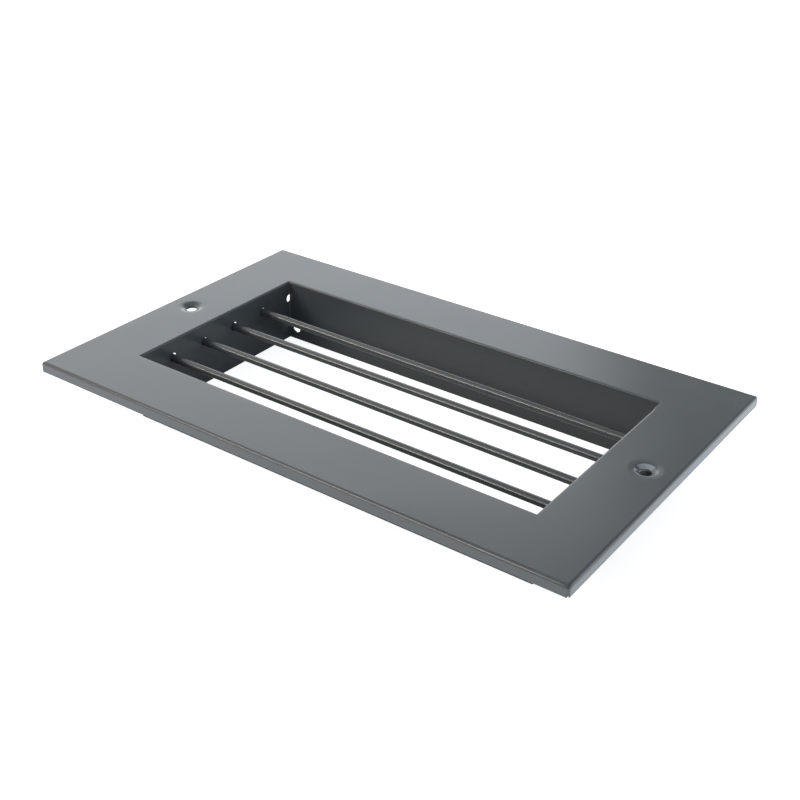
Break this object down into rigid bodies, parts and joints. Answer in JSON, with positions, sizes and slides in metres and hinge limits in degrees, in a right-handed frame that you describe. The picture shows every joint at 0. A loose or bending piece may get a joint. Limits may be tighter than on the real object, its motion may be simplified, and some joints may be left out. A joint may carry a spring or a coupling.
{
  "type": "ventilation grille",
  "caption": "Rectangular ventilation grille: a flat face with a short folded lip, a deep neck behind the opening, and loose round bars across it.",
  "frame": {"origin": "centre of the neck's open end, on which the grille stands", "axes": "+X along the long side and the bars, +Z out of the wall, so the face looks up"},
  "size_m": [0.26, 0.16, 0.0304],
  "materials": {
    "powder_coat": "satin dark grey powder coat"
  },
  "bodies": {
    "root": {"frame": "powder_coat", "bar_1": "powder_coat", "bar_2": "powder_coat", "bar_3": "powder_coat", "bar_4": "powder_coat"}
  },
  "joints": []
}
